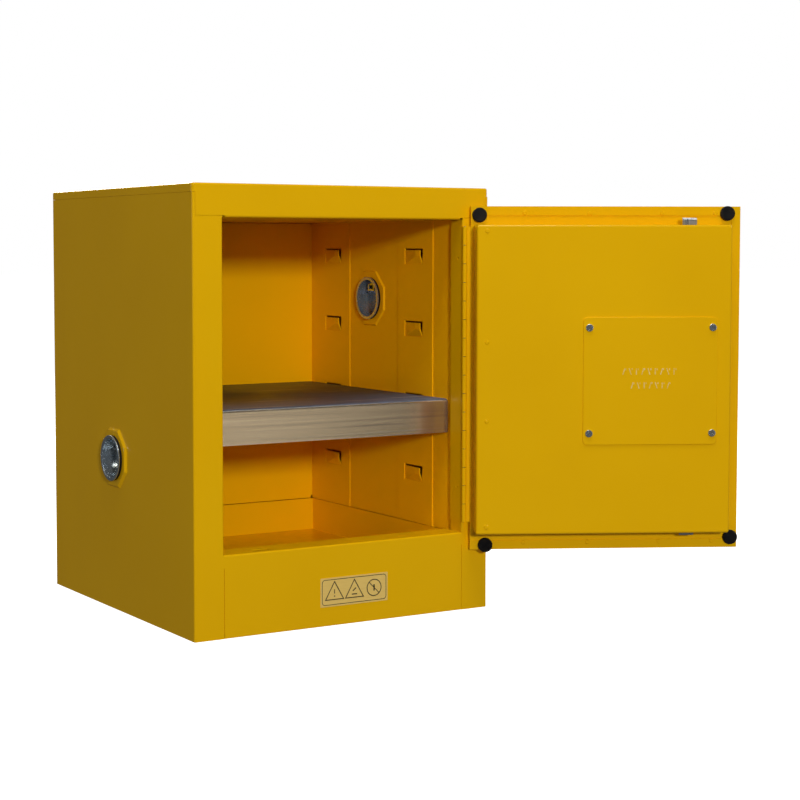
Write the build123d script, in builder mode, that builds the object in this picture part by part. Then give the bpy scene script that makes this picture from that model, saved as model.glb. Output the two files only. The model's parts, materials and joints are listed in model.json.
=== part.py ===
"""Counter-top flammable storage cabinet: double-wall steel body, sump, shelf, vents and one hinged door.

Frame, in millimetres: origin at the middle of the footprint, +X to the right seen from the front,
+Y to the back, +Z up. The door stands open, and the front of the body is the plane y = -DEPTH / 2.
"""
from build123d import *
from math import cos, radians, sin
import os

os.makedirs("parts", exist_ok=True)

# ---- driving dimensions -------------------------------------------------------------------
WIDTH, DEPTH, HEIGHT = 441.3, 460.4, 569.9
SHEET = 1.2                      # 18 gauge steel
BEND = 2.4                       # outer radius of a folded edge
HALF_W, FRONT, BACK = WIDTH / 2, -DEPTH / 2, DEPTH / 2

OPENING_HALF = 179.5             # half width of the door opening
OPENING_LOW, OPENING_HIGH = 105.7, 527.6
CAP_HEIGHT = 11.0                # down-turned rim of the top cap
CAP_LOW = HEIGHT - CAP_HEIGHT
HEADER_HALF = 216.6
HEADER_SEAM = 529.9              # lower edge of the header where it meets the stiles
JAMB_END = FRONT + 26.7          # back edge of the folds round the opening

LINER_X = 184.0                  # inner face of the side liners
LINER_Y = 186.0                  # inner face of the back liner
LINER_LOW = 103.4
WALL_GAP = 0.8                   # reveal between two inner walls
CORNER = 3.5                     # relief cut at the corners of the back liner and of the header
SUMP_FLOOR, SUMP_TOP = 54.5, 102.4
SILL_DEPTH = 39.2
SEAM, SEAM_TOP = 0.6, 89.0       # open joint between the sill and a stile
WALL_GAP_X = HALF_W - SHEET      # inner face of an outer side wall

RAIL_FACE = LINER_X - SHEET      # inner face of the shelf rails
RAILS = ((-152.0, -62.0), (72.0, LINER_Y))
SHELF_LEVELS = (184.2, 285.8, 387.4, 489.0)
TAB_INSET, TAB_WIDE, TAB_HIGH, TAB_OUT = 27.0, 46.0, 21.0, 3.5
TAB_SLIT, TAB_GAP = 2.2, 2.0     # open width of the lance above and in front of a tab
TAB_CREST = (12.0, 9.0)          # part of a tab that stands out fully
SHELF_LEVEL = 1                  # which of the levels carries the shelf
SHELF_HIGH, SHELF_BEND = 46.0, 5.0
SHELF_FRONT = -196.5
SHELF_HALF = RAIL_FACE - 1.0

VENT_Y = 14.0
VENT_Z = {"left": 206.8, "right": 416.8}
VENT_HOLE, SLEEVE_OUT = 28.7, 30.5
EMBOSS_FLATS = 80.0
EMBOSS_OUT = {"outer": 3.0, "inner": 2.0}
GASKET = 3.5
PLUG_RIM, PLUG_BARREL, PLUG_CUP = 31.0, 28.3, 26.6
RIM_THICK, PLUG_DEEP = 1.5, 12.0
LUG_UP, LUG_SIZE, LUG_HOLE, LUG_HIGH = 16.0, (17.0, 11.0), (11.0, 5.5), 10.0

LABEL_AT, LABEL_SIZE = (10.2, 44.1), (101.9, 37.8)
LABEL_CORNER, LABEL_THICK = 0.8, 0.4

HINGE_X, HINGE_Y = 179.4, FRONT - 5.0
DOOR_OPEN = 152.3                # degrees away from closed
HINGE_LOW, HINGE_HIGH = 120.4, 518.4
KNUCKLES, KNUCKLE_R, PIN_R = 16, 3.2, 1.5
PIN_PLAY, KNUCKLE_PLAY = 0.05, 0.8
LEAF_WIDE = 26.0
LEAF_SCREWS = ((-221.0, 167.0), (-221.0, 476.0))
LEAF_SCREW_R = 1.6

DOOR_S = (8.4, 373.5)            # door edges, measured from the hinge axis
DOOR_Z = (82.8, 545.4)
DOOR_SKIN = -8.0                 # outer face, behind the plane of the lip
LIP = 12.0                       # width of the lip folded round the outer pan
PAN_S, PAN_Z, PAN_DEEP, PAN_R = (12.2, 354.3), (107.8, 520.4), 34.0, 3.0
COVER_S, COVER_Z, COVER_R = (154.7, 335.2), (227.5, 398.1), 6.0
COVER_SCREWS = ((162.7, 242.9), (328.6, 242.9), (162.7, 384.0), (328.6, 384.0))
BUMPERS = ((19.8, 533.7), (355.4, 536.2), (28.9, 89.2), (364.0, 97.0))
COVER_THICK = 1.6
BUMPER_R, BUMPER_THICK = 9.8, 4.7

BAR_S, BAR_WIDE, BAR_THICK, BAR_N = 299.4, 19.0, 3.0, 20.0
BAR_TIPS = (103.2, 530.0)
DISH_S, DISH_Z, DISH_BACK = (198.0, 282.0), (242.0, 384.0), 16.0
SHAFT_Z, SHAFT_N, SHAFT_R, BUSH_R = 363.0, 10.0, 3.5, 5.0
SCREW_R, SCREW_HEAD_R, ROCKER_PIN_R = 2.0, 5.0, 1.75
ROCKER_ARM = 10.0
PADDLE_S, PADDLE_Z = (204.0, 276.0), (277.0, 361.0)
LOCK_S, LOCK_Z, LOCK_R, LOCK_PLUG_R = 240.0, 259.0, 8.0, 5.5

# ---- the door's own axes -------------------------------------------------------------------
ANGLE = radians(DOOR_OPEN)
ALONG = (-cos(ANGLE), -sin(ANGLE), 0)      # from the hinge to the free edge
INWARD = (-sin(ANGLE), cos(ANGLE), 0)      # from the outer skin to the inner pan
DOOR = Plane(origin=(HINGE_X, HINGE_Y, 0), x_dir=ALONG, z_dir=INWARD)      # local x, y = along, height
outward = Axis(DOOR.origin, DOOR.z_dir)


def door_point(along, height, inward):
    """World position of a point given by the door's own distances."""
    return DOOR.from_local_coords(Vector(along, height, inward))


def door_section(along):
    """Plane across the door: local x, y = height, inward; a positive extrusion goes along the door."""
    return Plane(origin=door_point(along, 0, 0), x_dir=(0, 0, 1), z_dir=ALONG)


def block(x, y, z):
    """Rectangular block between pairs of limits."""
    size = (x[1] - x[0], y[1] - y[0], z[1] - z[0])
    middle = Pos((x[0] + x[1]) / 2, (y[0] + y[1]) / 2, (z[0] + z[1]) / 2)
    return middle * Box(*size, mode=Mode.PRIVATE)


def door_block(along, height, inward):
    """Rectangular block between pairs of limits along the door's own axes."""
    return DOOR.location * block(along, height, inward)


def rectangle(x, y, mode=Mode.ADD):
    """Rectangle between pairs of limits, inside a sketch."""
    with Locations(((x[0] + x[1]) / 2, (y[0] + y[1]) / 2)):
        Rectangle(abs(x[1] - x[0]), abs(y[1] - y[0]), mode=mode)


def save(part, name):
    """Label a finished piece and write it."""
    part.label = name
    export_step(part, f"parts/{name}.step")


# ---- vents: holes with a raised octagon round them ------------------------------------------
def vent_face(side, inner):
    """Plane on the wall face round a vent, with its normal towards the user of that face."""
    sign = -1 if side == "left" else 1
    x = sign * (LINER_X if inner else HALF_W)
    outward = -sign if inner else sign
    return Plane(origin=(x, VENT_Y, VENT_Z[side]), x_dir=(0, 1, 0), z_dir=(outward, 0, 0))


def emboss(face, out, shift):
    """Raised octagonal form that stands on a wall face; a negative shift gives its hollow back."""
    with BuildPart() as form:
        with BuildSketch(face.offset(shift)):
            RegularPolygon(radius=EMBOSS_FLATS / 2, side_count=8, major_radius=False, rotation=22.5)
        extrude(amount=out, taper=45)
    return form.part


def vent_hole(face):
    """Cylinder that clears the hole through one wall."""
    with BuildPart() as hole:
        with BuildSketch(face.offset(-10)):
            Circle(VENT_HOLE)
        extrude(amount=20)
    return hole.part


# ---- outer body ----------------------------------------------------------------------------
def leaf_holes():
    """Cylinders that clear the screw holes of the hinge's frame leaf and of the fold under it."""
    drill = Rot(0, 90, 0) * Cylinder(LEAF_SCREW_R, 8 * SHEET, mode=Mode.PRIVATE)
    return [Pos(OPENING_HALF, y, z) * drill for y, z in LEAF_SCREWS]


def side_panel(side):
    """Side wall with its stile and the fold round the door opening, in one sheet."""
    sign = -1 if side == "left" else 1
    wall = (sign * WALL_GAP_X, sign * HALF_W)
    stile = (sign * OPENING_HALF, sign * HALF_W)
    jamb = (sign * OPENING_HALF, sign * (OPENING_HALF + SHEET))
    stretches = ((0, OPENING_LOW, False), (OPENING_LOW, OPENING_HIGH, True), (OPENING_HIGH, HEADER_SEAM - 0.3, False))
    face, out = vent_face(side, inner=False), EMBOSS_OUT["outer"]
    raised, hollow = emboss(face, out, 0), emboss(face, out, -SHEET)
    holes = [vent_hole(face)] + (leaf_holes() if side == "right" else [])
    with BuildPart() as panel:
        for low, high, folded in stretches:
            with BuildSketch(Plane.XY.offset(low)) as plan:
                rectangle(wall, (FRONT, BACK))
                rectangle(stile, (FRONT, FRONT + SHEET))
                if folded:
                    rectangle(jamb, (FRONT, JAMB_END))
                    rectangle((jamb[0], sign * (OPENING_HALF + 10)), (JAMB_END - SHEET, JAMB_END))
                corners = plan.vertices().group_by(Axis.Y)[0].sort_by(Axis.X)
                outer = corners[-1] if sign > 0 else corners[0]
                inner = corners[0] if sign > 0 else corners[-1]
                fillet([outer, inner] if folded else [outer], BEND)
            extrude(amount=high - low)
        with BuildSketch(Plane.XY.offset(HEADER_SEAM - 0.3)) as plan:
            rectangle(wall, (FRONT, BACK))
            rectangle((sign * (HEADER_HALF + 0.3), sign * HALF_W), (FRONT, FRONT + SHEET))
            corners = plan.vertices().group_by(Axis.Y)[0].sort_by(Axis.X)
            fillet(corners[-1] if sign > 0 else corners[0], BEND)
        extrude(amount=CAP_LOW - 0.3 - (HEADER_SEAM - 0.3))
        lap = (sign * (WALL_GAP_X - SHEET), sign * WALL_GAP_X)
        with BuildSketch(Plane.XY.offset(CAP_LOW - 14)):
            rectangle(lap, (FRONT + 6, BACK - 14))
        extrude(amount=CAP_HEIGHT + 11)
        add(raised)
        add([hollow, *holes], mode=Mode.SUBTRACT)
    return panel.part


for side in ("left", "right"):
    save(side_panel(side), f"{side}_side_panel")

with BuildPart() as back_panel:
    with BuildSketch(Plane.XY):
        rectangle((-WALL_GAP_X, WALL_GAP_X), (BACK - SHEET, BACK))
    extrude(amount=CAP_LOW - 0.3)
    with BuildSketch(Plane.XY.offset(15.5)):
        for sign in (-1, 1):
            rectangle((sign * (WALL_GAP_X - SHEET), sign * WALL_GAP_X), (BACK - 13, BACK - SHEET))
    extrude(amount=CAP_LOW - 30)
save(back_panel.part, "back_panel")

with BuildPart() as base_panel:
    with BuildSketch(Plane.XZ.offset(-(BACK - SHEET))):
        rectangle((-WALL_GAP_X, WALL_GAP_X), (0, SHEET))
        for sign in (-1, 1):
            rectangle((sign * (WALL_GAP_X - SHEET), sign * WALL_GAP_X), (0, 15))
    extrude(amount=DEPTH - 2 * SHEET)
save(base_panel.part, "base_panel")


def header_profile():
    """Front sheet and bottom fold of the header, drawn looking along X."""
    rectangle((FRONT, FRONT + SHEET), (OPENING_HIGH, CAP_LOW + 5))
    rectangle((FRONT, JAMB_END), (OPENING_HIGH, OPENING_HIGH + SHEET))


def strike_slot(height):
    """Clearance for a latch bar's tip through a fold of the opening, with the door shut."""
    x, y = HINGE_X - BAR_S, HINGE_Y + BAR_N
    reach = BAR_WIDE / 2 + 2
    return block((x - reach, x + reach), (y - 4.5, y + 4.5), (height - 4, height + 4))


with BuildPart() as top_cap:
    with BuildSketch(Plane.XY.offset(CAP_LOW)):
        Rectangle(WIDTH, DEPTH)
    extrude(amount=CAP_HEIGHT)
    fillet(top_cap.edges().filter_by(Axis.Z).group_by(Axis.Y)[0], 2 * BEND)
    fillet(top_cap.faces().sort_by(Axis.Z)[-1].edges(), BEND)
    with BuildSketch(Plane.XY.offset(CAP_LOW)):
        RectangleRounded(WIDTH - 2 * SHEET, DEPTH - 2 * SHEET, 2 * BEND - SHEET)
    extrude(amount=CAP_HEIGHT - SHEET, mode=Mode.SUBTRACT)
    with BuildSketch(Plane.YZ.offset(-HEADER_HALF)) as profile:
        header_profile()
        fillet(profile.vertices().group_by(Axis.Y)[0].sort_by(Axis.X)[0], BEND)
    extrude(amount=2 * HEADER_HALF)
    for sign in (-1, 1):
        ends = (sign * (OPENING_HALF - CORNER), sign * (HALF_W + 1))
        add(block(sorted(ends), (FRONT - 1, JAMB_END + 1), (OPENING_HIGH - 1, HEADER_SEAM)), mode=Mode.SUBTRACT)
    add(strike_slot(OPENING_HIGH), mode=Mode.SUBTRACT)
save(top_cap.part, "top_cap")

with BuildPart() as sill_panel:
    with BuildSketch(Plane.YZ.offset(-OPENING_HALF)) as profile:
        rectangle((FRONT, FRONT + SHEET), (SHEET, OPENING_LOW))
        rectangle((FRONT, FRONT + SILL_DEPTH), (OPENING_LOW - SHEET, OPENING_LOW))
        rectangle((FRONT + SILL_DEPTH - SHEET, FRONT + SILL_DEPTH), (OPENING_LOW - 11, OPENING_LOW))
        rectangle((FRONT, FRONT + 25), (SHEET, 2 * SHEET))
        fillet(profile.vertices().group_by(Axis.Y)[-1].sort_by(Axis.X)[0], BEND)
    extrude(amount=2 * OPENING_HALF)
    with BuildSketch(Plane.XY.offset(6)):
        for sign in (-1, 1):
            rectangle((sign * (OPENING_HALF - SHEET), sign * OPENING_HALF), (FRONT + SHEET, FRONT + 18))
    extrude(amount=OPENING_LOW - 12)
    for sign in (-1, 1):                                     # open seams beside the stiles, welded above
        seam = sorted((sign * (OPENING_HALF - SEAM), sign * OPENING_HALF))
        add(block(seam, (FRONT - 1, FRONT + SHEET), (0, SEAM_TOP)), mode=Mode.SUBTRACT)
    add(strike_slot(OPENING_LOW), mode=Mode.SUBTRACT)
save(sill_panel.part, "sill_panel")

# ---- inner walls and sump --------------------------------------------------------------------
def shelf_tab(sign, y, level):
    """Lanced tab, open at its top and front, that a shelf rests on; and the hole that it leaves."""
    top = SHELF_LEVELS[level] - TAB_SLIT
    wall = Plane(origin=(sign * RAIL_FACE, y, top), x_dir=(0, 1, 0), z_dir=(-sign, 0, 0))
    up = 1 if sign < 0 else -1                     # the plane's own y axis points up or down
    with BuildPart() as form:
        with BuildSketch(wall.offset(-SHEET)):
            rectangle((0, TAB_WIDE), (0, -up * TAB_HIGH))
        with BuildSketch(wall.offset(TAB_OUT)):
            rectangle((0, TAB_CREST[0]), (0, -up * TAB_CREST[1]))
        loft()
    inner = Pos(sign * SHEET, -SHEET, SHEET) * form.part
    hole = block(sorted((sign * (RAIL_FACE - 1), sign * (LINER_X + 2 * SHEET))),
                 (y - TAB_GAP, y + TAB_WIDE - SHEET), (top - TAB_HIGH + SHEET, top + TAB_SLIT))
    return form.part - inner, hole


def shelf_tabs(sign):
    """All the tabs on one side, and their holes."""
    places = [(y + TAB_INSET, level) for y, _ in RAILS for level in range(len(SHELF_LEVELS))]
    return zip(*[shelf_tab(sign, y, level) for y, level in places])


def side_liner(side):
    """Inner side wall with the raised octagon of its vent and the holes of the shelf tabs."""
    sign = -1 if side == "left" else 1
    face, out = vent_face(side, inner=True), EMBOSS_OUT["inner"]
    raised, hollow, hole = emboss(face, out, 0), emboss(face, out, -SHEET), vent_hole(face)
    _, tab_holes = shelf_tabs(sign)
    with BuildPart() as liner:
        with BuildSketch(Plane.XY.offset(LINER_LOW)):
            rectangle((sign * LINER_X, sign * (LINER_X + SHEET)), (JAMB_END, LINER_Y))
        extrude(amount=OPENING_HIGH - LINER_LOW)
        add(raised)
        add([hollow, hole, *tab_holes], mode=Mode.SUBTRACT)
    return liner.part


def shelf_rails(side):
    """Front and rear strips on a side liner, each with a row of tabs."""
    sign = -1 if side == "left" else 1
    tabs, holes = shelf_tabs(sign)
    with BuildPart() as rails:
        with BuildSketch(Plane.XY.offset(LINER_LOW)):
            for y in RAILS:
                rectangle((sign * RAIL_FACE, sign * LINER_X), y)
        extrude(amount=OPENING_HIGH - LINER_LOW)
        add(holes, mode=Mode.SUBTRACT)
        add(tabs)
    return rails.part


for side in ("left", "right"):
    save(side_liner(side), f"{side}_liner")
    save(shelf_rails(side), f"{side}_shelf_rails")

with BuildPart() as back_liner:
    with BuildSketch(Plane.XY.offset(LINER_LOW)):
        rectangle((-LINER_X - SHEET, LINER_X + SHEET), (LINER_Y, LINER_Y + SHEET))
    extrude(amount=OPENING_HIGH - WALL_GAP - LINER_LOW)
    for sign in (-1, 1):
        side = sorted((sign * (LINER_X - CORNER), sign * LINER_X))
        for low in (LINER_LOW, OPENING_HIGH - CORNER):
            add(block(side, (LINER_Y, LINER_Y + SHEET), (low, low + CORNER)), mode=Mode.SUBTRACT)
save(back_liner.part, "back_liner")

with BuildPart() as ceiling_liner:
    with BuildSketch(Plane.XY.offset(OPENING_HIGH)):
        rectangle((-LINER_X - SHEET, LINER_X + SHEET), (JAMB_END, LINER_Y + SHEET))
    extrude(amount=SHEET)
save(ceiling_liner.part, "ceiling_liner")

SUMP_FRONT = FRONT + SILL_DEPTH
with BuildPart() as sump_pan:
    with BuildSketch(Plane.XY.offset(SUMP_FLOOR - SHEET)):
        rectangle((-LINER_X - SHEET, LINER_X + SHEET), (SUMP_FRONT, LINER_Y + SHEET))
    extrude(amount=SUMP_TOP - SUMP_FLOOR + SHEET)
    fillet(sump_pan.faces().sort_by(Axis.Z)[0].edges(), BEND)
    offset(amount=-SHEET, openings=sump_pan.faces().sort_by(Axis.Z)[-1])
save(sump_pan.part, "sump_pan")

# ---- vent sleeves, screens, gaskets and plugs ------------------------------------------------
def vent_sleeve(side):
    """Tube that joins the two walls round a vent."""
    face = vent_face(side, inner=False)
    with BuildPart() as sleeve:
        with BuildSketch(face.offset(-SHEET)):
            Circle(SLEEVE_OUT)
            Circle(VENT_HOLE, mode=Mode.SUBTRACT)
        extrude(amount=-(WALL_GAP_X - LINER_X - SHEET))
    return sleeve.part


def flame_screen(side):
    """Flame arrester disc in the middle of a sleeve."""
    face = vent_face(side, inner=False)
    with BuildPart() as screen:
        with BuildSketch(face.offset(-SHEET - (WALL_GAP_X - LINER_X - SHEET) / 2 - 0.5)):
            Circle(VENT_HOLE)
        extrude(amount=1)
    return screen.part


def vent_gasket(face, out):
    """Rubber ring between the raised octagon and the plug's rim."""
    with BuildPart() as gasket:
        with BuildSketch(face.offset(out)):
            Circle(PLUG_RIM - 0.5)
            Circle(PLUG_BARREL + 0.2, mode=Mode.SUBTRACT)
        extrude(amount=GASKET)
    return gasket.part


def vent_plug(face, out):
    """Screwed cup-shaped plug with a rim, and a wrench lug with its square hole high in the cup."""
    seat = out + GASKET
    with BuildPart() as plug:
        with BuildSketch(face.offset(-PLUG_DEEP)):
            Circle(PLUG_BARREL)
        extrude(amount=PLUG_DEEP + seat)
        with BuildSketch(face.offset(seat)):
            Circle(PLUG_RIM)
        extrude(amount=RIM_THICK)
        with BuildSketch(face.offset(-PLUG_DEEP + 1.5)):
            Circle(PLUG_CUP)
        extrude(amount=PLUG_DEEP + seat, mode=Mode.SUBTRACT)
        fillet(plug.faces().sort_by(Axis(face.origin, face.z_dir))[-1].edges(), RIM_THICK / 2)
        with BuildSketch(face.offset(-PLUG_DEEP + 1.5)):
            with Locations((0, LUG_UP * (1 if face.y_dir.Z > 0 else -1))):
                Rectangle(*LUG_SIZE)
                Rectangle(*LUG_HOLE, mode=Mode.SUBTRACT)
        extrude(amount=LUG_HIGH)
    return plug.part


for side in ("left", "right"):
    save(vent_sleeve(side), f"{side}_vent_sleeve")
    save(flame_screen(side), f"{side}_flame_screen")
    for place in ("outer", "inner"):
        face = vent_face(side, inner=place == "inner")
        save(vent_gasket(face, EMBOSS_OUT[place]), f"{side}_{place}_gasket")
        save(vent_plug(face, EMBOSS_OUT[place]), f"{side}_{place}_plug")

# ---- shelf -----------------------------------------------------------------------------------
DECK_LOW = SHELF_LEVELS[SHELF_LEVEL] - TAB_SLIT
DECK_TOP = DECK_LOW + SHEET
with BuildPart() as shelf:
    with BuildSketch(Plane.XY.offset(DECK_TOP - SHELF_HIGH)):
        rectangle((-SHELF_HALF, SHELF_HALF), (SHELF_FRONT, LINER_Y - 1))
    extrude(amount=SHELF_HIGH)
    fillet(shelf.edges().filter_by(Axis.Z), SHELF_BEND)
    fillet(shelf.faces().sort_by(Axis.Z)[-1].edges(), SHELF_BEND - 0.5)
    offset(amount=-SHEET, openings=shelf.faces().sort_by(Axis.Z)[0])
    for y, _ in RAILS:
        tab = (y + TAB_INSET - 3, y + TAB_INSET + TAB_WIDE + 3)
        for sign in (-1, 1):
            gap = sorted((sign * (RAIL_FACE - TAB_OUT - 3), sign * (RAIL_FACE + 1)))
            add(block(gap, tab, (DECK_TOP - SHELF_HIGH - 1, DECK_LOW)), mode=Mode.SUBTRACT)
    with BuildSketch(Plane.XY.offset(DECK_TOP - SHELF_HIGH)):
        for y in (SHELF_FRONT + SHEET, LINER_Y - 1 - SHEET - 12):
            rectangle((-SHELF_HALF + 6, SHELF_HALF - 6), (y, y + 12))
    extrude(amount=SHEET)
    with BuildSketch(Plane.XZ.offset(-SHELF_FRONT)):
        rectangle((-SHELF_HALF - 1, SHELF_HALF + 1), (DECK_TOP - SHELF_HIGH + 5.8, DECK_TOP - SHELF_HIGH + 6.3))
    extrude(amount=-0.35, mode=Mode.SUBTRACT)
save(shelf.part, "shelf")

# ---- label plate and ground screw --------------------------------------------------------------
with BuildPart() as label_plate:
    with BuildSketch(Plane.XZ.offset(-FRONT)):
        with Locations(LABEL_AT):
            RectangleRounded(*LABEL_SIZE, LABEL_CORNER)
    extrude(amount=LABEL_THICK)
save(label_plate.part, "label_plate")

with BuildPart() as ground_screw:
    with BuildSketch(Plane.XZ.offset(-BACK)):
        with Locations((150, 60)):
            Circle(8)
    extrude(amount=-1.5)
    with BuildSketch(Plane.XZ.offset(-BACK - 1.5)):
        with Locations((150, 60)):
            RegularPolygon(radius=6.5, side_count=6)
    extrude(amount=-4.5)
save(ground_screw.part, "ground_screw")

# ---- piano hinge -------------------------------------------------------------------------------
KNUCKLE_PITCH = (HINGE_HIGH - HINGE_LOW) / KNUCKLES


def hinge_axis(height):
    """Horizontal plane centred on the hinge axis."""
    return Plane(origin=(HINGE_X, HINGE_Y, height))


def hinge_column(radius, first=0, step=1, play=0.0):
    """Cylinders on the hinge axis, one for each chosen knuckle; play shortens them."""
    with BuildPart() as column:
        for index in range(first, KNUCKLES, step):
            low = HINGE_LOW + index * KNUCKLE_PITCH
            with BuildSketch(hinge_axis(low + play / 2)):
                Circle(radius)
            extrude(amount=KNUCKLE_PITCH - play)
    return column.part


def hinge_leaf(sheet, first):
    """Leaf with every second knuckle rolled on it and room cut for the other leaf's knuckles."""
    room = hinge_column(KNUCKLE_R + 0.4, 1 - first, 2, play=-KNUCKLE_PLAY)
    rolled = hinge_column(KNUCKLE_R, first, 2, play=KNUCKLE_PLAY)
    return sheet - room + rolled - hinge_column(PIN_R + PIN_PLAY)


hinge_height = (HINGE_LOW, HINGE_HIGH)
frame_sheet = block((OPENING_HALF - SHEET, OPENING_HALF), (HINGE_Y, JAMB_END - 0.5), hinge_height) - leaf_holes()
save(hinge_leaf(frame_sheet, first=0), "hinge_frame_leaf")

with BuildPart() as hinge_pin:
    with BuildSketch(hinge_axis(HINGE_LOW)):
        Circle(PIN_R)
    extrude(amount=HINGE_HIGH - HINGE_LOW)
save(hinge_pin.part, "hinge_pin")

LEAF_N = (-2 * SHEET, -SHEET)        # the door leaf passes under the lip of the outer pan
door_sheet = door_block((0, LEAF_WIDE), hinge_height, LEAF_N)
save(hinge_leaf(door_sheet, first=1), "hinge_door_leaf")

# ---- door pans -----------------------------------------------------------------------------------
WELDS = (80.6, 168.5, 266.5, 339.0)                  # welds of the lip, along the door
SPOTS = (118.5, 260.0, 365.0, 512.0)                 # spot welds of the inner pan, by height
WELD_R, WELD_OUT, WELD_TAPER = 3.0, 0.9, 40
SPOT_INSET = 14.0                                    # spot welds, in from the pan's hinge edge
INNER_EDGE = (PAN_S[0], DOOR_S[1] - LIP)             # window of the lip, along the door
LIP_Z = (DOOR_Z[0] + LIP, DOOR_Z[1] - LIP)


def inset(limits, amount):
    """A pair of limits moved inwards."""
    return (limits[0] + amount, limits[1] - amount)


with BuildPart() as door_outer_pan:
    with BuildSketch(DOOR.offset(DOOR_SKIN)):
        rectangle(DOOR_S, DOOR_Z)
    extrude(amount=-DOOR_SKIN)
    fillet(door_outer_pan.faces().sort_by(outward)[0].edges(), BEND)
    add(door_block(inset(DOOR_S, SHEET), inset(DOOR_Z, SHEET), (DOOR_SKIN + SHEET, -SHEET)), mode=Mode.SUBTRACT)
    add(door_block(INNER_EDGE, LIP_Z, (-SHEET, 1)), mode=Mode.SUBTRACT)
    with BuildSketch(DOOR):
        with Locations(*[(s, z) for s in WELDS for z in (LIP_Z[0] - WELD_R, LIP_Z[1] + WELD_R)]):
            Circle(WELD_R)
    extrude(amount=WELD_OUT, taper=WELD_TAPER)
    add(door_block((0, LEAF_WIDE + 1), (HINGE_LOW - 0.3, HINGE_HIGH + 0.3), (LEAF_N[0] - 0.02, LEAF_N[1] + 0.02)),
        mode=Mode.SUBTRACT)
    add(door_block(DISH_S, DISH_Z, (DOOR_SKIN - 1, -2)), mode=Mode.SUBTRACT)
save(door_outer_pan.part, "door_outer_pan")


with BuildPart() as door_inner_pan:
    with BuildSketch(DOOR.offset(-SHEET)):
        rectangle(PAN_S, PAN_Z)
    extrude(amount=PAN_DEEP + SHEET)
    fillet(door_inner_pan.edges().filter_by(outward), PAN_R)
    fillet(door_inner_pan.faces().sort_by(outward)[-1].edges(), PAN_R)
    offset(amount=-SHEET, openings=door_inner_pan.faces().sort_by(outward)[0])
    with BuildSketch(DOOR.offset(-2 * SHEET)):
        rectangle((PAN_S[0], INNER_EDGE[1] + 6), inset(LIP_Z, -6))
        rectangle((PAN_S[0] - 1, PAN_S[1] - SHEET), inset(PAN_Z, SHEET), mode=Mode.SUBTRACT)
    extrude(amount=SHEET)
    with BuildSketch(DOOR.offset(PAN_DEEP)):
        with Locations(*[(PAN_S[0] + SPOT_INSET, z) for z in SPOTS]):
            Circle(WELD_R)
    extrude(amount=WELD_OUT, taper=WELD_TAPER)
    hole = (inset(COVER_S, 12), inset(COVER_Z, 12), (PAN_DEEP - 2, PAN_DEEP + 1))
    add(door_block(*hole), mode=Mode.SUBTRACT)               # access hole behind the cover plate
    with BuildSketch(DOOR.offset(PAN_DEEP - SHEET)):
        with Locations(*COVER_SCREWS):
            Circle(SCREW_R + 0.05)
    extrude(amount=SHEET, mode=Mode.SUBTRACT)
    for low, high in (PAN_Z[0] - 1, PAN_Z[0] + 2), (PAN_Z[1] - 2, PAN_Z[1] + 1):
        slot = (BAR_S - BAR_WIDE / 2 - 1.5, BAR_S + BAR_WIDE / 2 + 1.5), (low, high), (BAR_N - 3, BAR_N + 3)
        add(door_block(*slot), mode=Mode.SUBTRACT)           # windows for the latch bars
save(door_inner_pan.part, "door_inner_pan")

with BuildPart() as latch_cover_plate:
    with BuildSketch(DOOR.offset(PAN_DEEP)):
        with Locations(((COVER_S[0] + COVER_S[1]) / 2, (COVER_Z[0] + COVER_Z[1]) / 2)):
            RectangleRounded(COVER_S[1] - COVER_S[0], COVER_Z[1] - COVER_Z[0], COVER_R)
        with Locations(*COVER_SCREWS):
            Circle(SCREW_R + 0.05, mode=Mode.SUBTRACT)
    extrude(amount=COVER_THICK)
    fillet(latch_cover_plate.faces().sort_by(outward)[-1].outer_wire().edges(), COVER_THICK / 2)
save(latch_cover_plate.part, "latch_cover_plate")

with BuildPart() as cover_screws:
    with BuildSketch(DOOR.offset(PAN_DEEP - 6)):
        with Locations(*COVER_SCREWS):
            Circle(SCREW_R)
    extrude(amount=6 + COVER_THICK)
    with BuildSketch(DOOR.offset(PAN_DEEP + COVER_THICK)):
        with Locations(*COVER_SCREWS):
            Circle(SCREW_HEAD_R)
    extrude(amount=2)
    fillet(cover_screws.faces().group_by(outward)[-1].edges(), 0.9)
    with BuildSketch(DOOR.offset(PAN_DEEP + COVER_THICK + 1)):
        with Locations(*COVER_SCREWS):
            Rectangle(5, 1)
            Rectangle(1, 5)
    extrude(amount=1, mode=Mode.SUBTRACT)
save(cover_screws.part, "cover_screws")

with BuildPart() as door_bumpers:
    with BuildSketch(DOOR):
        with Locations(*BUMPERS):
            Circle(BUMPER_R)
    extrude(amount=BUMPER_THICK)
    fillet(door_bumpers.faces().group_by(outward)[-1].edges(), 1.2)
save(door_bumpers.part, "door_bumpers")

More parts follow.
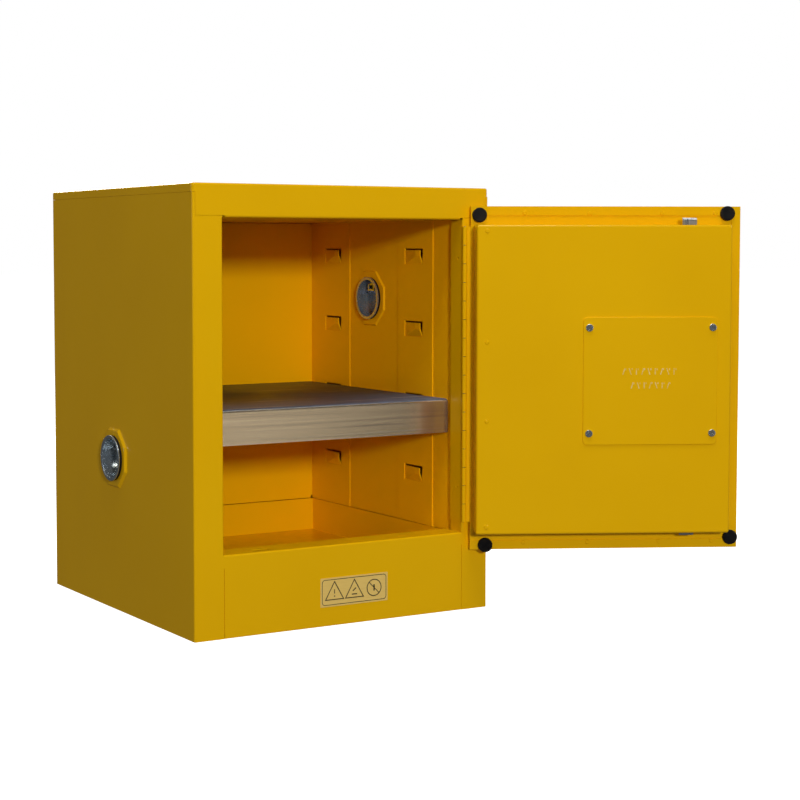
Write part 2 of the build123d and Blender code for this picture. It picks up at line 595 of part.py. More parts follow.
# ---- recessed handle, lock and latch bars ----------------------------------------------------------
DISH_RIM = 8.0
with BuildPart() as handle_dish:
    with BuildSketch(DOOR.offset(DOOR_SKIN)):
        rectangle(inset(DISH_S, 0.3), inset(DISH_Z, 0.3))
    extrude(amount=DISH_BACK + SHEET - DOOR_SKIN)
    fillet(handle_dish.edges().filter_by(outward), 6)
    offset(amount=-SHEET, openings=handle_dish.faces().sort_by(outward)[0])
    with BuildSketch(DOOR.offset(DOOR_SKIN - SHEET)) as rim:
        rectangle(inset(DISH_S, -DISH_RIM), inset(DISH_Z, -DISH_RIM))
        fillet(rim.vertices(), 8)
        rectangle(inset(DISH_S, SHEET + 0.3), inset(DISH_Z, SHEET + 0.3), mode=Mode.SUBTRACT)
    extrude(amount=SHEET)
    with BuildSketch(door_section(DISH_S[0] - 1)):
        with Locations((SHAFT_Z, SHAFT_N)):
            Circle(BUSH_R)
    extrude(amount=DISH_S[1] - DISH_S[0] + 2, mode=Mode.SUBTRACT)
    with BuildSketch(DOOR.offset(DISH_BACK - 1)):
        with Locations((LOCK_S, LOCK_Z)):
            Circle(LOCK_R + 0.05)
    extrude(amount=4, mode=Mode.SUBTRACT)
save(handle_dish.part, "handle_dish")

with BuildPart() as shaft_bushes:
    for start in (DISH_S[0] - 1.2, DISH_S[1] - 2.6):
        with BuildSketch(door_section(start)):
            with Locations((SHAFT_Z, SHAFT_N)):
                Circle(BUSH_R)
                Circle(SHAFT_R + 0.05, mode=Mode.SUBTRACT)
        extrude(amount=3.8)
save(shaft_bushes.part, "shaft_bushes")

with BuildPart() as paddle_shaft:
    with BuildSketch(door_section(DISH_S[0] - 4)):
        with Locations((SHAFT_Z, SHAFT_N)):
            Circle(SHAFT_R)
    extrude(amount=BAR_S + 14 - (DISH_S[0] - 4))
save(paddle_shaft.part, "paddle_shaft")

PADDLE_FACE = (DOOR_SKIN, DOOR_SKIN + 2)
with BuildPart() as paddle:
    with BuildSketch(DOOR.offset(PADDLE_FACE[0])) as face:
        rectangle(PADDLE_S, PADDLE_Z)
        fillet(face.vertices(), 3)
    extrude(amount=2)
    add(door_block(PADDLE_S, (PADDLE_Z[0], PADDLE_Z[0] + 2), (PADDLE_FACE[1], PADDLE_FACE[1] + 5)))
    for low in (PADDLE_S[0], PADDLE_S[1] - 3):
        with BuildSketch(door_section(low)) as arm:
            with Locations((SHAFT_Z, SHAFT_N)):
                Circle(SHAFT_R + 2)
            with BuildLine():
                Polyline((SHAFT_Z - 5, SHAFT_N + 2), (SHAFT_Z + 5, SHAFT_N - 1), (PADDLE_Z[1] - 2, PADDLE_FACE[1]),
                         (PADDLE_Z[1] - 22, PADDLE_FACE[1]), (SHAFT_Z - 5, SHAFT_N + 2))
            make_face()
            with Locations((SHAFT_Z, SHAFT_N)):
                Circle(SHAFT_R, mode=Mode.SUBTRACT)
        extrude(amount=3)
save(paddle.part, "paddle")

ROCKER_S = BAR_S + BAR_WIDE / 2 + 0.5
EYE_S = BAR_S + BAR_WIDE / 2 - 11                    # start of the eyes at the ends of the bars
EYE_PLAY, EYE_TRAVEL = 0.25, 1.9
with BuildPart() as latch_rocker:
    with BuildSketch(door_section(ROCKER_S)):
        with Locations((SHAFT_Z, SHAFT_N)):
            SlotCenterToCenter(2 * ROCKER_ARM, 9, rotation=90)
            Circle(SHAFT_R, mode=Mode.SUBTRACT)
    extrude(amount=3)
    with BuildSketch(door_section(EYE_S)):
        with Locations((SHAFT_Z, SHAFT_N - ROCKER_ARM), (SHAFT_Z, SHAFT_N + ROCKER_ARM)):
            Circle(ROCKER_PIN_R)
    extrude(amount=ROCKER_S - EYE_S)
save(latch_rocker.part, "latch_rocker")


def latch_bar(points, pin_n, inner_n):
    """Flat bar along a line of (height, inward) points, with a bevelled tip and a slotted eye for its pin."""
    tip, before = points[-1][0], points[-2][0]
    way = 1 if tip > before else -1
    slot = sorted((pin_n, inner_n))
    middle, reach = (slot[0] + slot[1]) / 2, slot[1] - slot[0]
    with BuildPart() as bar:
        with BuildSketch(door_section(BAR_S - BAR_WIDE / 2)):
            for start, end in zip(points, points[1:]):
                with BuildLine():
                    Line(start, end)
                trace(line_width=BAR_THICK)
        extrude(amount=BAR_WIDE)
        with BuildSketch(door_section(EYE_S)):
            with Locations((SHAFT_Z, middle)):
                SlotCenterToCenter(reach, 2 * (ROCKER_PIN_R + EYE_PLAY + 1.2), rotation=90)
        extrude(amount=11)
        with BuildSketch(door_section(BAR_S - BAR_WIDE / 2)):
            with Locations((SHAFT_Z, middle)):
                SlotCenterToCenter(reach, 2 * (ROCKER_PIN_R + EYE_PLAY), rotation=90)
            with BuildLine():
                Polyline((tip - 2.6 * way, BAR_N + BAR_THICK / 2), (tip, BAR_N - 0.6), (tip + way, BAR_N + 3),
                         (tip - 2.6 * way, BAR_N + 3), close=True)
            make_face()
        extrude(amount=BAR_WIDE, mode=Mode.SUBTRACT)
    return bar.part


upper_line = ((SHAFT_Z + 3, BAR_N), (BAR_TIPS[1], BAR_N))
lower_start = SHAFT_N - ROCKER_ARM
lower_line = ((SHAFT_Z - 3, lower_start), (SHAFT_Z - 22, lower_start), (SHAFT_Z - 48, BAR_N), (BAR_TIPS[0], BAR_N))
save(latch_bar(upper_line, BAR_N, BAR_N - EYE_TRAVEL), "upper_latch_bar")
save(latch_bar(lower_line, lower_start, lower_start + EYE_TRAVEL), "lower_latch_bar")

with BuildPart() as bar_guides:
    for height in (PAN_Z[0] + 14, PAN_Z[1] - 24):
        add(door_block((BAR_S - 14, BAR_S + 14), (height, height + 10), (BAR_N - 3.3, PAN_DEEP - SHEET)))
    window = (BAR_S - BAR_WIDE / 2 - 0.3, BAR_S + BAR_WIDE / 2 + 0.3), PAN_Z, (BAR_N - 1.8, BAR_N + 1.8)
    add(door_block(*window), mode=Mode.SUBTRACT)
save(bar_guides.part, "bar_guides")

SPRING_R, SPRING_WIRE, SPRING_TURNS, SPRING_PITCH = 4.6, 0.5, 3.5, 1.3
spring_start = DISH_S[1] + 1.9
with BuildPart() as paddle_spring:
    with BuildLine() as coil:
        Helix(SPRING_PITCH, SPRING_TURNS * SPRING_PITCH, SPRING_R,
              center=door_point(spring_start, SHAFT_Z, SHAFT_N), direction=ALONG)
    with BuildSketch(Plane(origin=coil.line @ 0, z_dir=coil.line % 0)):
        Circle(SPRING_WIRE)
    sweep()
save(paddle_spring.part, "paddle_spring")

LOCK_FACE, LOCK_END = 6.0, 24.0
with BuildPart() as lock_barrel:
    with BuildSketch(DOOR.offset(LOCK_FACE)):
        with Locations((LOCK_S, LOCK_Z)):
            Circle(LOCK_R)
    extrude(amount=LOCK_END - LOCK_FACE)
    with BuildSketch(DOOR.offset(DISH_BACK + SHEET)):
        with Locations((LOCK_S, LOCK_Z)):
            RegularPolygon(radius=12, side_count=6)
    extrude(amount=3)
    with BuildSketch(DOOR.offset(LOCK_FACE)):
        with Locations((LOCK_S, LOCK_Z)):
            Circle(LOCK_PLUG_R + 0.05)
    extrude(amount=LOCK_END - LOCK_FACE, mode=Mode.SUBTRACT)
save(lock_barrel.part, "lock_barrel")

with BuildPart() as lock_plug:
    with BuildSketch(DOOR.offset(LOCK_FACE - 0.5)):
        with Locations((LOCK_S, LOCK_Z)):
            Circle(LOCK_PLUG_R)
    extrude(amount=LOCK_END + 2.5 - LOCK_FACE)
    with BuildSketch(DOOR.offset(LOCK_FACE - 0.5)):
        with Locations((LOCK_S, LOCK_Z)):
            Rectangle(1.6, 8)
    extrude(amount=6, mode=Mode.SUBTRACT)
save(lock_plug.part, "lock_plug")

with BuildPart() as lock_cam:
    with BuildSketch(DOOR.offset(LOCK_END + 2)):
        with Locations((LOCK_S - 8, LOCK_Z)):
            SlotOverall(26, 9)
    extrude(amount=1.6)
save(lock_cam.part, "lock_cam")

RIVETS = [(s, z) for s in inset(DISH_S, -4) for z in inset(DISH_Z, -4)]
with BuildPart() as dish_rivets:
    with BuildSketch(DOOR.offset(DOOR_SKIN - SHEET - 0.9)):
        with Locations(*RIVETS):
            Circle(2.4)
    extrude(amount=0.9)
    fillet(dish_rivets.faces().group_by(outward)[0].edges(), 0.6)
save(dish_rivets.part, "dish_rivets")
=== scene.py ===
"""Looks for the counter-top flammable storage cabinet: materials, raised marks and studio."""
import json
import math

import bmesh
import bpy
from mathutils import Matrix, Vector


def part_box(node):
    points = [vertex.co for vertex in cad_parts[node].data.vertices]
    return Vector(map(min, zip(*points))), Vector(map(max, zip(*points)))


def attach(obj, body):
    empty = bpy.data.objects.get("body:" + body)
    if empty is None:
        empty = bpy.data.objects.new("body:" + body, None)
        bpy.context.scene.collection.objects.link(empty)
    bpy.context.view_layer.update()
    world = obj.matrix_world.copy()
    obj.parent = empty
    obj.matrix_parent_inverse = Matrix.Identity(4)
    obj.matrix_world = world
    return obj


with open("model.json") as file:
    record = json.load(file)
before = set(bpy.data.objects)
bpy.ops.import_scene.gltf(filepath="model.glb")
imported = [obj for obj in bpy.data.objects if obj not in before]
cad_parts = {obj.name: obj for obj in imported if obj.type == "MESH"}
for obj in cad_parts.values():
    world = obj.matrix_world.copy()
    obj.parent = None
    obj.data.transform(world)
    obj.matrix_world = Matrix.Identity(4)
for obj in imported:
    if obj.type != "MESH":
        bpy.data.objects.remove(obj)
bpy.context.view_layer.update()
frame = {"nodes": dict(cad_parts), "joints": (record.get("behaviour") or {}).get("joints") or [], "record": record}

MM = 0.001


# ---- material helpers --------------------------------------------------------------------------
class Shader:
    """A principled material with short calls for the procedural nodes that feed it."""

    def __init__(self, name, **sockets):
        self.material = bpy.data.materials.new(name)
        self.material.use_nodes = True
        self.nodes = self.material.node_tree.nodes
        self.links = self.material.node_tree.links
        self.bsdf = self.nodes["Principled BSDF"]
        self.place = self.nodes.new("ShaderNodeTexCoord").outputs["Object"]
        for key, value in sockets.items():
            self.bsdf.inputs[key.replace("_", " ").title().replace("Ior", "IOR")].default_value = value

    def link(self, start, end):
        self.links.new(start, end)

    def stretched(self, scale):
        """Object coordinates multiplied by a different factor on each axis."""
        mapping = self.nodes.new("ShaderNodeMapping")
        mapping.inputs["Scale"].default_value = scale
        self.link(self.place, mapping.inputs["Vector"])
        return mapping.outputs["Vector"]

    def noise(self, scale, detail=2.0, roughness=0.5, vector=None):
        """Noise value, mostly between 0.3 and 0.7, with its scale in cycles per metre."""
        node = self.nodes.new("ShaderNodeTexNoise")
        node.inputs["Scale"].default_value = scale
        node.inputs["Detail"].default_value = detail
        node.inputs["Roughness"].default_value = roughness
        self.link(vector or self.place, node.inputs["Vector"])
        return node.outputs["Fac"]

    def ramp(self, value, *stops):
        """Colour ramp from (position, colour) stops."""
        node = self.nodes.new("ShaderNodeValToRGB")
        elements = node.color_ramp.elements
        while len(elements) < len(stops):
            elements.new(0.5)
        for element, (position, colour) in zip(elements, stops):
            element.position = position
            element.color = (*colour, 1.0)
        self.link(value, node.inputs["Fac"])
        return node.outputs["Color"]

    def span(self, value, low, high, start=0.3, end=0.7):
        """Maps a value onto a range of numbers."""
        node = self.nodes.new("ShaderNodeMapRange")
        node.inputs["From Min"].default_value = start
        node.inputs["From Max"].default_value = end
        node.inputs["To Min"].default_value = low
        node.inputs["To Max"].default_value = high
        self.link(value, node.inputs["Value"])
        return node.outputs["Result"]

    def upward(self):
        """Upward part of the piece's own surface direction: 1 on a deck, 0 on a wall."""
        split = self.nodes.new("ShaderNodeSeparateXYZ")
        self.link(self.nodes["Texture Coordinate"].outputs["Normal"], split.inputs["Vector"])
        return split.outputs["Z"]

    def add(self, one, other):
        node = self.nodes.new("ShaderNodeMath")
        node.operation = "ADD"
        self.link(one, node.inputs[0])
        self.link(other, node.inputs[1])
        return node.outputs["Value"]

    def bump(self, height, strength, distance, normal=None):
        """Surface direction bent by a height value, on top of an earlier bump if one is given."""
        node = self.nodes.new("ShaderNodeBump")
        node.inputs["Strength"].default_value = strength
        node.inputs["Distance"].default_value = distance
        self.link(height, node.inputs["Height"])
        if normal:
            self.link(normal, node.inputs["Normal"])
        return node.outputs["Normal"]

    def feed(self, socket, value):
        """Links a value to a socket of the principled shader."""
        self.link(value, self.bsdf.inputs[socket])


def powder_coat():
    """Glossy yellow powder coat with a faint orange peel and slightly wavy sheet under it."""
    shader = Shader("yellow_powder_coat", specular_ior_level=0.5)
    shader.bsdf.inputs["Specular Tint"].default_value = (1.0, 0.86, 0.55, 1.0)
    tone = shader.noise(5.0, detail=3.0)
    shader.feed("Base Color", shader.ramp(
        tone, (0.3, (0.91, 0.495, 0.0010)), (0.7, (0.95, 0.525, 0.0014))))
    shader.feed("Roughness", shader.span(shader.noise(70.0, detail=4.0), 0.17, 0.25))
    waves = shader.bump(shader.noise(9.0, detail=1.0), 0.12, 0.004)
    shader.feed("Normal", shader.bump(shader.noise(520.0, detail=2.0), 0.10, 0.0002, waves))
    return shader.material


def galvanized():
    """Brushed galvanized sheet with fine lines along X, a few deeper scratches, and a duller deck painted darker
    and bluer: painted shade and painted reflection.
    """
    shader = Shader("galvanized_shelf", metallic=0.8, anisotropic=0.5, specular_ior_level=0.2)
    lines = shader.noise(1.0, detail=5.0, roughness=0.6, vector=shader.stretched((2.0, 500.0, 1500.0)))
    scratches = shader.noise(1.0, detail=2.0, vector=shader.stretched((3.0, 90.0, 260.0)))
    # Upward faces move up the ramp to dark blue-grey: painted shade with a painted bluish reflection on the deck.
    deck = shader.span(shader.upward(), 0.0, 0.6, 0.1, 0.95)
    tone = shader.add(deck, shader.span(scratches, 0.0, 0.4))
    shader.feed("Base Color", shader.ramp(
        tone, (0.0, (0.30, 0.23, 0.15)), (0.14, (0.48, 0.37, 0.23)), (0.40, (0.56, 0.44, 0.28)),
        (0.55, (0.58, 0.54, 0.48)), (0.68, (0.10, 0.13, 0.19)), (0.95, (0.14, 0.17, 0.24))))
    dull = shader.span(shader.upward(), 0.0, 0.35, 0.5, 1.0)
    shader.feed("Roughness", shader.add(shader.span(lines, 0.16, 0.26), dull))
    shader.feed("Normal", shader.bump(lines, 0.30, 0.0001))
    return shader.material


def zinc():
    """Bright zinc plating with a bluish passivated tint."""
    shader = Shader("bright_zinc", metallic=0.8)
    tint = shader.noise(55.0, detail=3.0)
    shader.feed("Base Color", shader.ramp(
        tint, (0.3, (0.40, 0.49, 0.58)), (0.55, (0.56, 0.61, 0.64)), (0.75, (0.60, 0.60, 0.52))))
    shader.feed("Roughness", shader.span(shader.noise(260.0, detail=3.0), 0.16, 0.30))
    shader.feed("Normal", shader.bump(shader.noise(900.0), 0.08, 0.0001))
    return shader.material


def plain_steel():
    """Cold-rolled bright steel with fine lines along Z."""
    shader = Shader("bright_steel", metallic=0.75)
    lines = shader.noise(1.0, detail=5.0, vector=shader.stretched((700.0, 700.0, 12.0)))
    shader.feed("Base Color", shader.ramp(lines, (0.3, (0.44, 0.45, 0.46)), (0.7, (0.62, 0.62, 0.61))))
    shader.feed("Roughness", shader.span(lines, 0.24, 0.38))
    shader.feed("Normal", shader.bump(lines, 0.15, 0.0001))
    return shader.material


def pressed_mark_highlight():
    """Powder coat painted pale over the pressed marks: a painted highlight where the raised strokes catch light.
    """
    shader = Shader("painted_highlight_coat", specular_ior_level=0.5)
    mottle = shader.noise(300.0, detail=3.0)
    shader.feed("Base Color", shader.ramp(mottle, (0.3, (0.92, 0.56, 0.06)), (0.65, (0.95, 0.72, 0.26))))
    shader.feed("Roughness", shader.span(mottle, 0.2, 0.35))
    return shader.material


def rubber():
    """Matte black moulded rubber."""
    shader = Shader("black_rubber", specular_ior_level=0.3)
    bloom = shader.noise(160.0, detail=4.0)
    shader.feed("Base Color", shader.ramp(
        bloom, (0.35, (0.006, 0.006, 0.007)), (0.75, (0.016, 0.015, 0.015))))
    shader.feed("Roughness", shader.span(bloom, 0.6, 0.8))
    shader.feed("Normal", shader.bump(shader.noise(1400.0), 0.2, 0.0001))
    return shader.material


def black_coat():
    """Satin black coat on the recessed handle."""
    shader = Shader("satin_black_coat")
    tone = shader.noise(40.0, detail=3.0)
    shader.feed("Base Color", shader.ramp(
        tone, (0.3, (0.011, 0.011, 0.012)), (0.7, (0.022, 0.022, 0.024))))
    shader.feed("Roughness", shader.span(tone, 0.38, 0.5))
    shader.feed("Normal", shader.bump(shader.noise(1100.0, detail=3.0), 0.25, 0.0001))
    return shader.material


def label_plate():
    """Satin tan label."""
    shader = Shader("tan_label", specular_ior_level=0.35)
    grain = shader.noise(1.0, detail=4.0, vector=shader.stretched((60.0, 60.0, 900.0)))
    shader.feed("Base Color", shader.ramp(grain, (0.3, (0.86, 0.58, 0.15)), (0.7, (0.92, 0.64, 0.18))))
    shader.feed("Roughness", shader.span(grain, 0.36, 0.48))
    shader.feed("Normal", shader.bump(grain, 0.08, 0.0001))
    return shader.material


def label_ink():
    """Dark printed ink, slightly raised."""
    shader = Shader("label_ink")
    # Patchy wear of the printed ink.
    mottle = shader.noise(420.0, detail=3.0)
    shader.feed("Base Color", shader.ramp(
        mottle, (0.3, (0.030, 0.024, 0.016)), (0.75, (0.060, 0.046, 0.028))))
    shader.feed("Roughness", shader.span(mottle, 0.5, 0.65))
    return shader.material


def gauze():
    """Fine woven wire of the flame arrester screens."""
    shader = Shader("wire_gauze", metallic=0.9)
    weave = shader.nodes.new("ShaderNodeTexChecker")
    weave.inputs["Scale"].default_value = 1400.0
    shader.link(shader.place, weave.inputs["Vector"])
    wires = weave.outputs["Fac"]
    shader.feed("Base Color", shader.ramp(wires, (0.0, (0.05, 0.05, 0.05)), (1.0, (0.4, 0.39, 0.37))))
    shader.feed("Roughness", shader.span(wires, 0.35, 0.6, 0.0, 1.0))
    shader.feed("Normal", shader.bump(wires, 0.6, 0.0004))
    return shader.material


def nylon():
    """Natural nylon of the shaft bushes."""
    shader = Shader("natural_nylon")
    tone = shader.noise(300.0)
    shader.feed("Base Color", shader.ramp(tone, (0.3, (0.62, 0.60, 0.53)), (0.7, (0.70, 0.68, 0.61))))
    shader.feed("Roughness", shader.span(tone, 0.4, 0.5))
    return shader.material


FINISH = {
    "powder_coat": powder_coat(),
    "galvanized": galvanized(),
    "zinc": zinc(),
    "bar_steel": plain_steel(),
    "rubber": rubber(),
    "black_coat": black_coat(),
    "label": label_plate(),
    "mesh": gauze(),
    "bush": nylon(),
}
# The second coat is pale yellow, a painted highlight for the raised cover marks.
INK, MARK_HIGHLIGHT = label_ink(), pressed_mark_highlight()


def paint(obj, material):
    obj.data.materials.clear()
    obj.data.materials.append(material)


for part in frame["record"]["subparts"]:
    paint(frame["nodes"][part["node"]], FINISH[part["material_slot"]])


# ---- small raised detail -----------------------------------------------------------------------
MITRE_LIMIT = 0.35                          # keeps the tip of a sharp corner short


def piece(name, mesh, material, body):
    """New piece of the object, riding on a body."""
    obj = bpy.data.objects.new(name, mesh)
    bpy.context.scene.collection.objects.link(obj)
    paint(obj, material)
    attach(obj, body)
    return obj


def ribbon(bm, points, width, thick, place, closed=True):
    """Flat raised stripe along a line of (x, y) points, laid on the plane that a matrix gives."""
    count = len(points)
    rows = []
    for index, point in enumerate(points):
        here = Vector(point)
        before = Vector(points[index - 1]) if closed or index else None
        after = Vector(points[(index + 1) % count]) if closed or index < count - 1 else None
        into = (here - before).normalized() if before else (after - here).normalized()
        away = (after - here).normalized() if after else into
        sides = Vector((-into.y, into.x)), Vector((-away.y, away.x))
        mitre = (sides[0] + sides[1]).normalized()
        reach = width / 2 / max(mitre.dot(sides[0]), MITRE_LIMIT)
        corners = [(here + mitre * reach, 0), (here + mitre * reach, thick),
                   (here - mitre * reach, thick), (here - mitre * reach, 0)]
        rows.append([bm.verts.new(place @ Vector((*flat, height))) for flat, height in corners])
    last = count if closed else count - 1
    for index in range(last):
        start, end = rows[index], rows[(index + 1) % count]
        for side in range(4):
            other = (side + 1) % 4
            bm.faces.new((start[side], start[other], end[other], end[side]))
    if not closed:
        bm.faces.new(rows[0])
        bm.faces.new(rows[-1][::-1])


def finished(bm, name):
    """Mesh with outward normals from a bmesh."""
    bmesh.ops.recalc_face_normals(bm, faces=bm.faces)
    mesh = bpy.data.meshes.new(name)
    bm.to_mesh(mesh)
    bm.free()
    return mesh


def circle(centre, radius, count=40):
    """Outline of a circle."""
    turns = [2 * math.pi * index / count for index in range(count)]
    return [(centre[0] + radius * math.cos(t), centre[1] + radius * math.sin(t)) for t in turns]


def rounded(centre, size, radius, steps=5):
    """Outline of a rounded rectangle."""
    points = []
    for corner, (sx, sy) in enumerate(((1, 1), (-1, 1), (-1, -1), (1, -1))):
        middle = (centre[0] + sx * (size[0] / 2 - radius), centre[1] + sy * (size[1] / 2 - radius))
        for step in range(steps + 1):
            t = math.pi / 2 * (corner + step / steps)
            points.append((middle[0] + radius * math.cos(t), middle[1] + radius * math.sin(t)))
    return points


def triangle(centre, height):
    """Upright equal-sided triangle round a centre."""
    half = height / math.sqrt(3)
    low = centre[1] - height * 0.42
    return [(centre[0] - half, low), (centre[0] + half, low), (centre[0], low + height)]


PRINT_LINE, PRINT_THICK = 0.8 * MM, 0.12 * MM
BORDER_INSET, BORDER_RADIUS = 2.5 * MM, 4 * MM
SIGN_PITCH, SIGN_HEIGHT = 0.295, 0.62       # shares of the label's length and height
RING_RADIUS, SIGN_BAR = 0.46, 0.15          # shares of a sign's height


def label_marks():
    """Border and three plain pictograms, printed on the sill's label."""
    low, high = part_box("label_plate")
    middle = (low + high) / 2
    size = high - low
    place = Matrix.Translation((middle.x, low.y, middle.z)) @ Matrix.Rotation(math.pi / 2, 4, "X")
    pitch, height = size.x * SIGN_PITCH, size.z * SIGN_HEIGHT
    ring, bar = height * RING_RADIUS, height * SIGN_BAR
    reach = ring * math.sqrt(0.5)
    border = rounded((0, 0), (size.x - 2 * BORDER_INSET, size.z - 2 * BORDER_INSET), BORDER_RADIUS)
    outlines = (
        (border, 1.0),
        (triangle((-pitch, 0), height), 1.5),
        (triangle((0, 0), height), 1.5),
        (circle((pitch, 0), ring), 1.5),
        (circle((-pitch, -bar * 1.55), PRINT_LINE * 0.7, 12), 0.9),
    )
    strokes = (
        ((-pitch, bar), (-pitch, -bar * 0.6), 1.6),
        ((-bar * 1.1, -bar * 1.6), (bar * 1.1, -bar * 1.6), 1.8),
        ((-bar * 0.7, -bar * 0.4), (bar * 0.7, bar * 0.7), 1.8),
        ((pitch - reach, reach), (pitch + reach, -reach), 1.3),
        ((pitch, bar * 1.2), (pitch, -bar * 1.2), 2.2),
    )
    bm = bmesh.new()
    for points, weight in outlines:
        ribbon(bm, points, PRINT_LINE * weight, PRINT_THICK, place)
    for start, end, weight in strokes:
        ribbon(bm, (start, end), PRINT_LINE * weight, PRINT_THICK, place, closed=False)
    piece("label_marks", finished(bm, "label_marks"), INK, "cabinet")


label_marks()

DOOR_HINGE = next(joint for joint in frame["joints"] if joint["name"] == "door_hinge")
DOOR_OPEN = -math.radians(DOOR_HINGE["range_deg"][0])
HINGE = Vector((*DOOR_HINGE["pos_m"][:2], 0))
ALONG = Vector((-math.cos(DOOR_OPEN), -math.sin(DOOR_OPEN), 0))
INWARD = Vector((-math.sin(DOOR_OPEN), math.cos(DOOR_OPEN), 0))
COVER_FACE = 35.6 * MM                      # from the hinge line, along INWARD
MARK_LINE, MARK_THICK, MARK_HEIGHT = 1.2 * MM, 0.4 * MM, 8.5 * MM
MARK_ROWS = ((325.6, 205.0, 281.0, 9), (307.0, 216.5, 273.0, 7))     # height, start, end in mm, and count
MARK_LEANS = (0.16, -0.16, 0.0)


def cover_marks():
    """Two rows of small raised strokes pressed on the latch cover plate."""
    turned = Matrix((ALONG, Vector((0, 0, 1)), INWARD)).transposed().to_4x4()
    place = Matrix.Translation(HINGE + INWARD * COVER_FACE) @ turned
    bm = bmesh.new()
    for row, start, end, count in MARK_ROWS:
        pitch = (end - start) * MM / count
        y = row * MM
        top, bottom = y + MARK_HEIGHT / 2, y - MARK_HEIGHT / 2
        for index in range(count):
            x = start * MM + pitch * (index + 0.5)
            lean = pitch * MARK_LEANS[index % len(MARK_LEANS)]
            tick = x + pitch * 0.3
            leaning = (x - lean, bottom), (x + lean, top)
            short = (tick, top), (tick, y + MARK_HEIGHT / 5)
            for stroke in (leaning, short):
                ribbon(bm, stroke, MARK_LINE, MARK_THICK, place, closed=False)
    # The strokes take the pale coat: a painted highlight on the raised marks.
    piece("cover_marks", finished(bm, "cover_marks"), MARK_HIGHLIGHT, "door")


cover_marks()

# ---- studio ------------------------------------------------------------------------------------
YAW, PITCH = math.radians(31.056), math.radians(3.551)
CAMERA_AT = Vector((-1.1821, -2.2246, 0.4889))
LENS, SENSOR = 80.802, 36.0                 # mm
SHIFT_X, SHIFT_Y = 0.05, -0.05
LIGHT_TARGET = Vector((0.0, 0.0, 0.3))
AMBIENT, REFLECTED, BACKDROP = 0.14, 0.04, 1.0       # grey levels of the surroundings
FLOOR_SIZE, FLOOR_DROP, FLOOR_GLOW = 60.0, 0.2 * MM, 0.93


def aim(obj, forward):
    """Turns a camera or light to look along a direction."""
    obj.rotation_euler = forward.to_track_quat("-Z", "Y").to_euler()


def camera():
    """Camera at the photograph's viewing angle."""
    data = bpy.data.cameras.new("camera")
    data.sensor_width = SENSOR
    data.lens = LENS
    data.shift_x, data.shift_y = SHIFT_X, SHIFT_Y
    data.clip_end = 100.0
    obj = bpy.data.objects.new("camera", data)
    bpy.context.scene.collection.objects.link(obj)
    obj.location = CAMERA_AT
    level = math.cos(PITCH)
    aim(obj, Vector((math.sin(YAW) * level, math.cos(YAW) * level, -math.sin(PITCH))))
    bpy.context.scene.camera = obj


def softbox(name, azimuth, elevation, distance, size, radiance,
            glossy=True, diffuse=True, tint=(1, 1, 1)):
    """Square area light aimed at the cabinet; azimuth 0 is in front and grows to the right."""
    a, e = math.radians(azimuth), math.radians(elevation)
    outward = Vector((math.sin(a) * math.cos(e), -math.cos(a) * math.cos(e), math.sin(e)))
    data = bpy.data.lights.new(name, "AREA")
    data.size = size
    data.energy = radiance * math.pi * size ** 2
    data.color = tint
    obj = bpy.data.objects.new(name, data)
    bpy.context.scene.collection.objects.link(obj)
    obj.location = LIGHT_TARGET + outward * distance
    obj.visible_glossy, obj.visible_diffuse = glossy, diffuse
    aim(obj, -outward)
    return obj


def light_only(light, nodes):
    """Keeps a light to some of the pieces."""
    group = bpy.data.collections.new(light.name + "_pieces")
    for node in nodes:
        group.objects.link(frame["nodes"][node])
    light.light_linking.receiver_collection = group


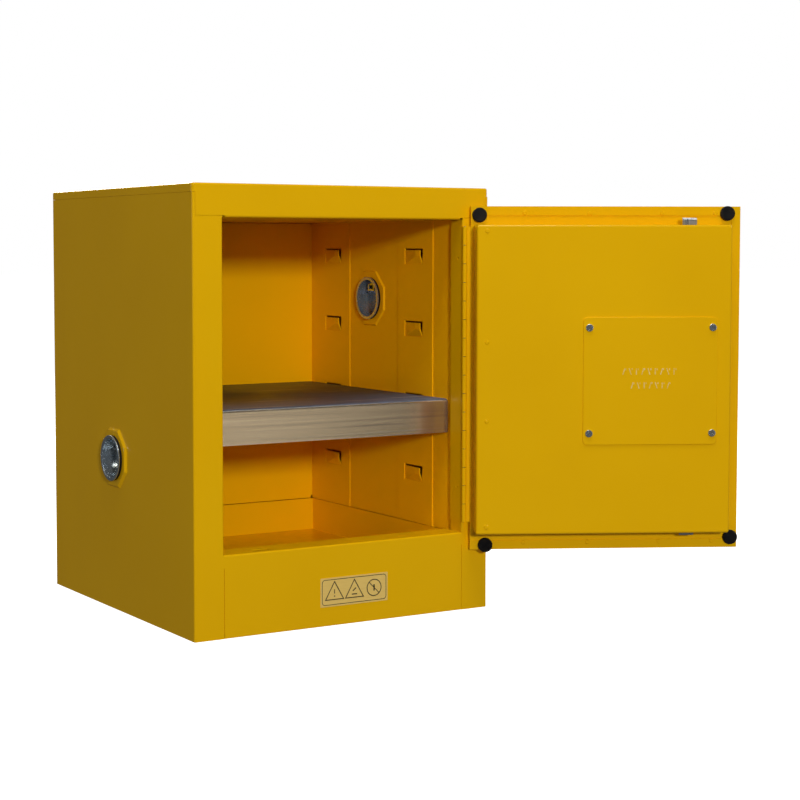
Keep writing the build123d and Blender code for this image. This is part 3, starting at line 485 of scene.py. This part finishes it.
def surroundings():
    """White backdrop for the eye, dim surroundings for reflections and an even soft light for the rest."""
    world = bpy.data.worlds.new("studio")
    bpy.context.scene.world = world
    world.use_nodes = True
    nodes, links = world.node_tree.nodes, world.node_tree.links
    nodes.clear()
    path = nodes.new("ShaderNodeLightPath")
    shaders = []
    for level in (AMBIENT, REFLECTED, BACKDROP):
        background = nodes.new("ShaderNodeBackground")
        background.inputs["Color"].default_value = (level, level, level, 1)
        shaders.append(background.outputs["Background"])
    mixed = shaders[0]
    for ray, shader in zip(("Is Glossy Ray", "Is Camera Ray"), shaders[1:]):
        mix = nodes.new("ShaderNodeMixShader")
        links.new(path.outputs[ray], mix.inputs["Fac"])
        links.new(mixed, mix.inputs[1])
        links.new(shader, mix.inputs[2])
        mixed = mix.outputs["Shader"]
    out = nodes.new("ShaderNodeOutputWorld")
    links.new(mixed, out.inputs["Surface"])


def floor():
    """Pale floor just under the base, with its own glow, that sends no light back up."""
    bpy.ops.mesh.primitive_plane_add(size=FLOOR_SIZE)
    obj = bpy.context.object
    obj.name = "floor"
    obj.location.z = -FLOOR_DROP
    obj.visible_diffuse = False
    obj.visible_glossy = False
    shader = Shader("pale_floor", roughness=0.7, specular_ior_level=0.1)
    tone = shader.noise(3.0, detail=2.0)
    shader.feed("Base Color", shader.ramp(tone, (0.3, (0.84, 0.84, 0.84)), (0.7, (0.86, 0.86, 0.86))))
    shader.bsdf.inputs["Emission Color"].default_value = (1, 1, 1, 1)
    shader.bsdf.inputs["Emission Strength"].default_value = FLOOR_GLOW
    obj.data.materials.append(shader.material)


BARE_METAL = [part["node"] for part in frame["record"]["subparts"]
              if part["material_slot"] in ("galvanized", "zinc", "bar_steel")]
INSIDE = ("left_liner", "right_liner", "back_liner", "ceiling_liner", "sump_pan",
          "left_shelf_rails", "right_shelf_rails")

camera()
softbox("key", azimuth=-18, elevation=10.6, distance=6.0, size=0.45, radiance=222, glossy=False)
softbox("left", azimuth=-120, elevation=12, distance=4.0, size=1.6, radiance=1.15)
softbox("glint", azimuth=-40, elevation=42, distance=4.0, size=0.8, radiance=14, diffuse=False)
softbox("overhead", azimuth=-10, elevation=66, distance=2.6, size=1.0, radiance=8)
softbox("rear_left", azimuth=-135, elevation=38, distance=4.0, size=1.6, radiance=0.6)
softbox("rear", azimuth=172, elevation=30, distance=4.0, size=1.6, radiance=9)
softbox("right", azimuth=88, elevation=20, distance=4.0, size=1.6, radiance=4)
card = softbox("card", azimuth=20.5, elevation=-4, distance=4.0, size=1.3, radiance=0.9, diffuse=False)
light_only(card, BARE_METAL)
fill = softbox("fill", azimuth=-28, elevation=6, distance=4.0, size=2.2, radiance=2.2, glossy=False,
               tint=(1.0, 0.40, 0.10))
light_only(fill, INSIDE)
surroundings()
floor()
bpy.context.scene.view_settings.view_transform = "Standard"
bpy.context.scene.view_settings.look = "None"
